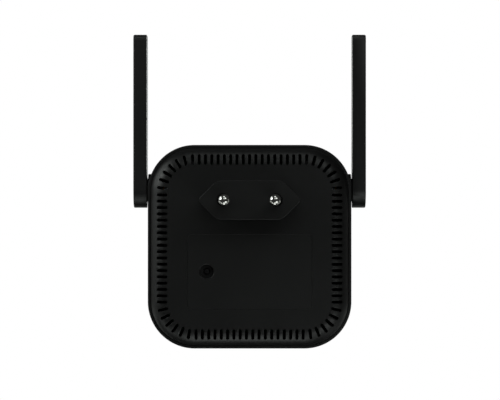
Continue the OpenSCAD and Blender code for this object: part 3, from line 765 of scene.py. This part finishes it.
def inner_finish(name, dark, pale, roughness, metallic, size_mm):
    """The finish of an inner part: two close tones in soft patches of the given size, with a
    little change of gloss, so that it looks made and not painted."""
    material, shader, place = new_material(name)
    patch = add_node(material, "ShaderNodeTexNoise", {"Vector": place}, Scale=1 / (size_mm * MM), Detail=4.0)
    tone = add_node(
        material, "ShaderNodeMixRGB", {"Fac": patch.outputs["Fac"]},
        Color1=linear(dark), Color2=linear(pale),
    )
    gloss = add_node(
        material, "ShaderNodeMapRange", {"Value": patch.outputs["Fac"]}, **NOISE_SPAN,
        **{"To Min": roughness - PATCH_GLOSS, "To Max": roughness + PATCH_GLOSS},
    )
    join_to(material, tone.outputs["Color"], shader, "Base Color")
    join_to(material, gloss.outputs["Result"], shader, "Roughness")
    shader.inputs["Metallic"].default_value = metallic
    return material


INNER = {
    "steel": inner_finish("zinc plated steel", "#8b8d90", "#a2a4a6", 0.35, 1.0, 0.8),
    "tinned_steel": inner_finish("tin plate", "#b9bbbd", "#cfd0d1", 0.25, 1.0, 2.0),
    "spring_bronze": inner_finish("rolled phosphor bronze", "#6b5534", "#7d6440", 0.4, 1.0, 0.6),
    "board_laminate": inner_finish("green solder mask on glass epoxy", "#1b4a31", "#22573b", 0.35, 0.0, 3.0),
    "antenna_laminate": inner_finish("copper tracks on glass epoxy", "#9c7434", "#b98c44", 0.4, 0.0, 2.0),
    "chip_plastic": inner_finish("moulded black epoxy", "#1f2123", "#282a2c", 0.6, 0.0, 0.3),
    "crystal_metal": inner_finish("nickel plated lid", "#b0b3b7", "#c6c8cb", 0.28, 1.0, 0.5),
    "silicone": inner_finish("grey silicone pad", "#8e9ba4", "#a1adb5", 0.7, 0.0, 1.0),
    "led_plastic": inner_finish("milky epoxy", "#eeebdc", "#f6f4ea", 0.3, 0.0, 0.4),
    "switch_plastic": inner_finish("black nylon", "#2b2d2f", "#35383a", 0.55, 0.0, 0.6),
    "stem_plastic": inner_finish("brown nylon", "#513525", "#63422e", 0.5, 0.0, 0.5),
    "ferrite": inner_finish("sintered ferrite", "#343436", "#424245", 0.6, 0.0, 0.5),
    "winding_tape": inner_finish("polyester winding tape", "#d6b23e", "#e8c954", 0.3, 0.0, 2.0),
    "capacitor_can": inner_finish("dark shrink sleeve", "#1b1f27", "#262b34", 0.35, 0.0, 1.5),
    "ceramic_blue": inner_finish("blue dipped coating", "#27569a", "#316ab6", 0.3, 0.0, 1.0),
    "fuse_body": inner_finish("grey green lacquer", "#446347", "#557857", 0.45, 0.0, 0.7),
    "link_plastic": inner_finish("white nylon", "#d2cebd", "#e2dfd2", 0.5, 0.0, 1.0),
    "wire_insulation": inner_finish("brown PVC insulation", "#7c4125", "#935033", 0.5, 0.0, 1.0),
    "coax_jacket": inner_finish("black FEP jacket", "#242426", "#2e2e31", 0.35, 0.0, 0.8),
}
for part in frame["record"]["subparts"]:
    if part["material_slot"] in INNER:
        dress(frame["nodes"][part["node"]], INNER[part["material_slot"]])


# Light pipe: a clear polycarbonate rod glued into the front face. Its node keeps its shape,
# and its end is frosted so that the status light behind it shows as an even dot.
FROST = 0.25 * MM

# Frosting scatters what comes through, so the clear rod looks like a pale grey dot.
frosted, shader, place = new_material("clear polycarbonate, frosted")
frost = add_node(frosted, "ShaderNodeTexNoise", {"Vector": place}, Scale=1 / FROST, Detail=2.0)
haze = add_node(
    frosted, "ShaderNodeMapRange", {"Value": frost.outputs["Fac"]}, **NOISE_SPAN,
    **{"To Min": 0.25, "To Max": 0.4},
)
join_to(frosted, haze.outputs["Result"], shader, "Roughness")
shader.inputs["Base Color"].default_value = linear("#dfe5e8")
shader.inputs["IOR"].default_value = 1.58
shader.inputs["Transmission Weight"].default_value = 0.6
dress(frame["nodes"]["light_pipe"], frosted)


# Studio: a pale floor well below the plug that fades to white, a black felt flag that keeps
# the floor out of the shine under the case, soft lamps all round, and a camera square on to
# the back at the height of the plug.
FLOOR_Z = -220 * MM
FLOOR_EDGE_Y = -80 * MM
FLOOR_REACH = 1900 * MM
FLOOR_W = 4000 * MM
FLOOR_SCUFF = 120 * MM
FADE_START = 300 * MM
PALENESS = 0.55
FLAG_W = 800 * MM
FLAG_L = 300 * MM
FLAG_Y = 130 * MM
FLAG_RISE = 5 * MM
FELT_TUFT = 4 * MM
CAMERA_AWAY = 1000 * MM
CAMERA_ASIDE = 0.14 * MM
SENSOR_W = 36
VIEW_W = 179.26 * MM


def studio_sheet(name, width, length, centre, material):
    """A flat sheet of the studio, which is no part of the object."""
    bpy.ops.object.select_all(action="DESELECT")
    bpy.ops.mesh.primitive_plane_add(size=1, location=centre)
    sheet = bpy.context.object
    sheet.name = name
    sheet.scale = (width, length, 1)
    bpy.ops.object.transform_apply(location=True, rotation=True, scale=True)
    dress(sheet, material)
    return sheet


# Matt white paint, a little scuffed. To the camera alone it is paler and turns white far off,
# so the floor shows no edge and gives the object no more light. The near half, behind the
# plug, is there for the camera only.
floor_paint, shader, place = new_material("white studio floor")
scuff = add_node(floor_paint, "ShaderNodeTexNoise", {"Vector": place}, Scale=1 / FLOOR_SCUFF, Detail=3.0)
paint = add_node(
    floor_paint, "ShaderNodeMixRGB", {"Fac": scuff.outputs["Fac"]},
    Color1=linear("#cdcdca"), Color2=linear("#d2d2cf"),
)
join_to(floor_paint, paint.outputs["Color"], shader, "Base Color")
shader.inputs["Roughness"].default_value = 0.9
reach = add_node(floor_paint, "ShaderNodeVectorMath", {0: place}, operation="LENGTH")
fade = add_node(
    floor_paint, "ShaderNodeMapRange", {"Value": reach.outputs["Value"]},
    **{"From Min": FADE_START, "From Max": FLOOR_REACH, "To Min": PALENESS, "To Max": 1.0},
)
seen = add_node(floor_paint, "ShaderNodeLightPath")
pale_share = add_node(
    floor_paint, "ShaderNodeMath", {0: seen.outputs["Is Camera Ray"], 1: fade.outputs["Result"]},
    operation="MULTIPLY",
)
pale = add_node(floor_paint, "ShaderNodeEmission", Color=linear("#ffffff"), Strength=1.0)
painted = add_node(
    floor_paint, "ShaderNodeMixShader",
    {0: pale_share.outputs["Value"], 1: shader.outputs["BSDF"], 2: pale.outputs["Emission"]},
)
surface = floor_paint.node_tree.nodes["Material Output"]
join_to(floor_paint, painted.outputs["Shader"], surface, "Surface")
floor_paint.cycles.emission_sampling = "NONE"
for name, y_start, y_end in (
    ("floor", FLOOR_EDGE_Y, FLOOR_REACH),
    ("floor_near", -FLOOR_REACH, FLOOR_EDGE_Y),
):
    middle = (0, (y_start + y_end) / 2, FLOOR_Z)
    floor = studio_sheet(name, FLOOR_W, y_end - y_start, middle, floor_paint)
    floor.visible_diffuse = floor.visible_glossy = name == "floor"

# Black felt swallows nearly all light, and only shine sees it here.
flag_felt, shader, place = new_material("black felt flag")
tuft = add_node(flag_felt, "ShaderNodeTexNoise", {"Vector": place}, Scale=1 / FELT_TUFT, Detail=2.0)
nap = add_node(
    flag_felt, "ShaderNodeMixRGB", {"Fac": tuft.outputs["Fac"]},
    Color1=linear("#060606"), Color2=linear("#0c0c0c"),
)
join_to(flag_felt, nap.outputs["Color"], shader, "Base Color")
shader.inputs["Roughness"].default_value = 1.0
flag = studio_sheet("flag", FLAG_W, FLAG_L, (0, FLAG_Y, FLOOR_Z + FLAG_RISE), flag_felt)
flag.visible_camera = False
flag.visible_diffuse = False
flag.visible_shadow = False

# Each lamp's name, place, the point it faces, width and height, all in metres, and the
# brightness of its face, where 1 is white.
LAMPS = (
    ("left", (-0.8, 0.04, 0.38), (0, 0, 0), 0.8, 0.7, 1.2),
    ("left_card", (-0.25, -0.1, 0.1), (0, 0.02, 0), 0.12, 0.12, 3.0),
    ("near_top", (0, -0.614, 0.296), (0, 0.02, 0), 0.3, 0.3, 0.6),
    ("high", (0, -0.276, 0.634), (0, 0.02, 0), 0.3, 0.3, 1.1),
    ("low", (0, -0.4, -0.56), (0, 0.02, 0), 0.34, 0.3, 0.8),
    ("under", (-0.008, -0.022, -0.16), (-0.01, 0.02, -0.05), 0.08, 0.075, 1.4),
    ("left_under", (-0.16, -0.02, -0.17), (-0.03, 0.02, -0.045), 0.1, 0.1, 0.6),
    ("right_under", (0.16, 0.04, -0.18), (0.03, 0.02, -0.045), 0.1, 0.1, 0.35),
    ("right_high", (0.38, -0.67, 0.47), (0, 0, 0), 0.4, 0.4, 1.35),
    ("right_low", (0.113, -0.154, -0.143), (0, 0, 0), 0.14, 0.1, 1.6),
    ("front", (0, 2.1, 0.3), (0, 0, 0), 1.5, 1.0, 1.2),
    ("floor_wash", (0, 1.1, 1.3), (0, 1.1, 0), 2.4, 1.4, 1.6),
)
for name, at, toward, wide, high, glow in LAMPS:
    bpy.ops.object.light_add(type="AREA", location=at)
    lamp = bpy.context.object
    lamp.name = lamp.data.name = f"lamp_{name}"
    lamp.data.shape = "RECTANGLE"
    lamp.data.size = wide
    lamp.data.size_y = high
    lamp.data.color = linear("#f9fffc")[:3]
    lamp.data.energy = glow * math.pi * wide * high
    lamp.rotation_euler = (Vector(toward) - Vector(at)).to_track_quat("-Z", "Y").to_euler()
    lamp.visible_camera = False
    lamp.visible_glossy = name != "floor_wash"

# The room is white to the camera. Shine and clear plastic see it white only straight ahead, past
# the object, and everywhere else it is dim, so that the lamps shape the object.
DIM = 0.03
SHEET_SPAN = {"From Min": 0.92, "From Max": 0.98}

room = bpy.data.worlds.new("studio")
room.use_nodes = True
room.node_tree.nodes.clear()
path = add_node(room, "ShaderNodeLightPath")
way = add_node(room, "ShaderNodeTexCoord")
axes = add_node(room, "ShaderNodeSeparateXYZ", {"Vector": way.outputs["Generated"]})
sheet = add_node(room, "ShaderNodeMapRange", {"Value": axes.outputs["Y"]}, **SHEET_SPAN)
mirror = add_node(
    room, "ShaderNodeMath", {0: path.outputs["Is Glossy Ray"], 1: path.outputs["Is Transmission Ray"]},
    operation="MAXIMUM",
)
shown = add_node(
    room, "ShaderNodeMath", {0: mirror.outputs["Value"], 1: sheet.outputs["Result"]},
    operation="MULTIPLY",
)
white = add_node(
    room, "ShaderNodeMath", {0: shown.outputs["Value"], 1: path.outputs["Is Camera Ray"]},
    operation="MAXIMUM",
)
dim = add_node(room, "ShaderNodeBackground", Color=linear("#ffffff"), Strength=DIM)
bright = add_node(room, "ShaderNodeBackground", Color=linear("#ffffff"), Strength=1.0)
either = add_node(
    room, "ShaderNodeMixShader",
    {0: white.outputs["Value"], 1: dim.outputs["Background"], 2: bright.outputs["Background"]},
)
add_node(room, "ShaderNodeOutputWorld", {"Surface": either.outputs["Shader"]})
bpy.context.scene.world = room

bpy.ops.object.camera_add(location=(CAMERA_ASIDE, RIM_Y - CAMERA_AWAY, 0), rotation=BACKWARD)
camera = bpy.context.object
camera.data.sensor_width = SENSOR_W
camera.data.lens = SENSOR_W * CAMERA_AWAY / VIEW_W
camera.data.clip_start = 0.01
camera.data.clip_end = 20
bpy.context.scene.camera = camera
bpy.context.scene.view_settings.view_transform = "Standard"
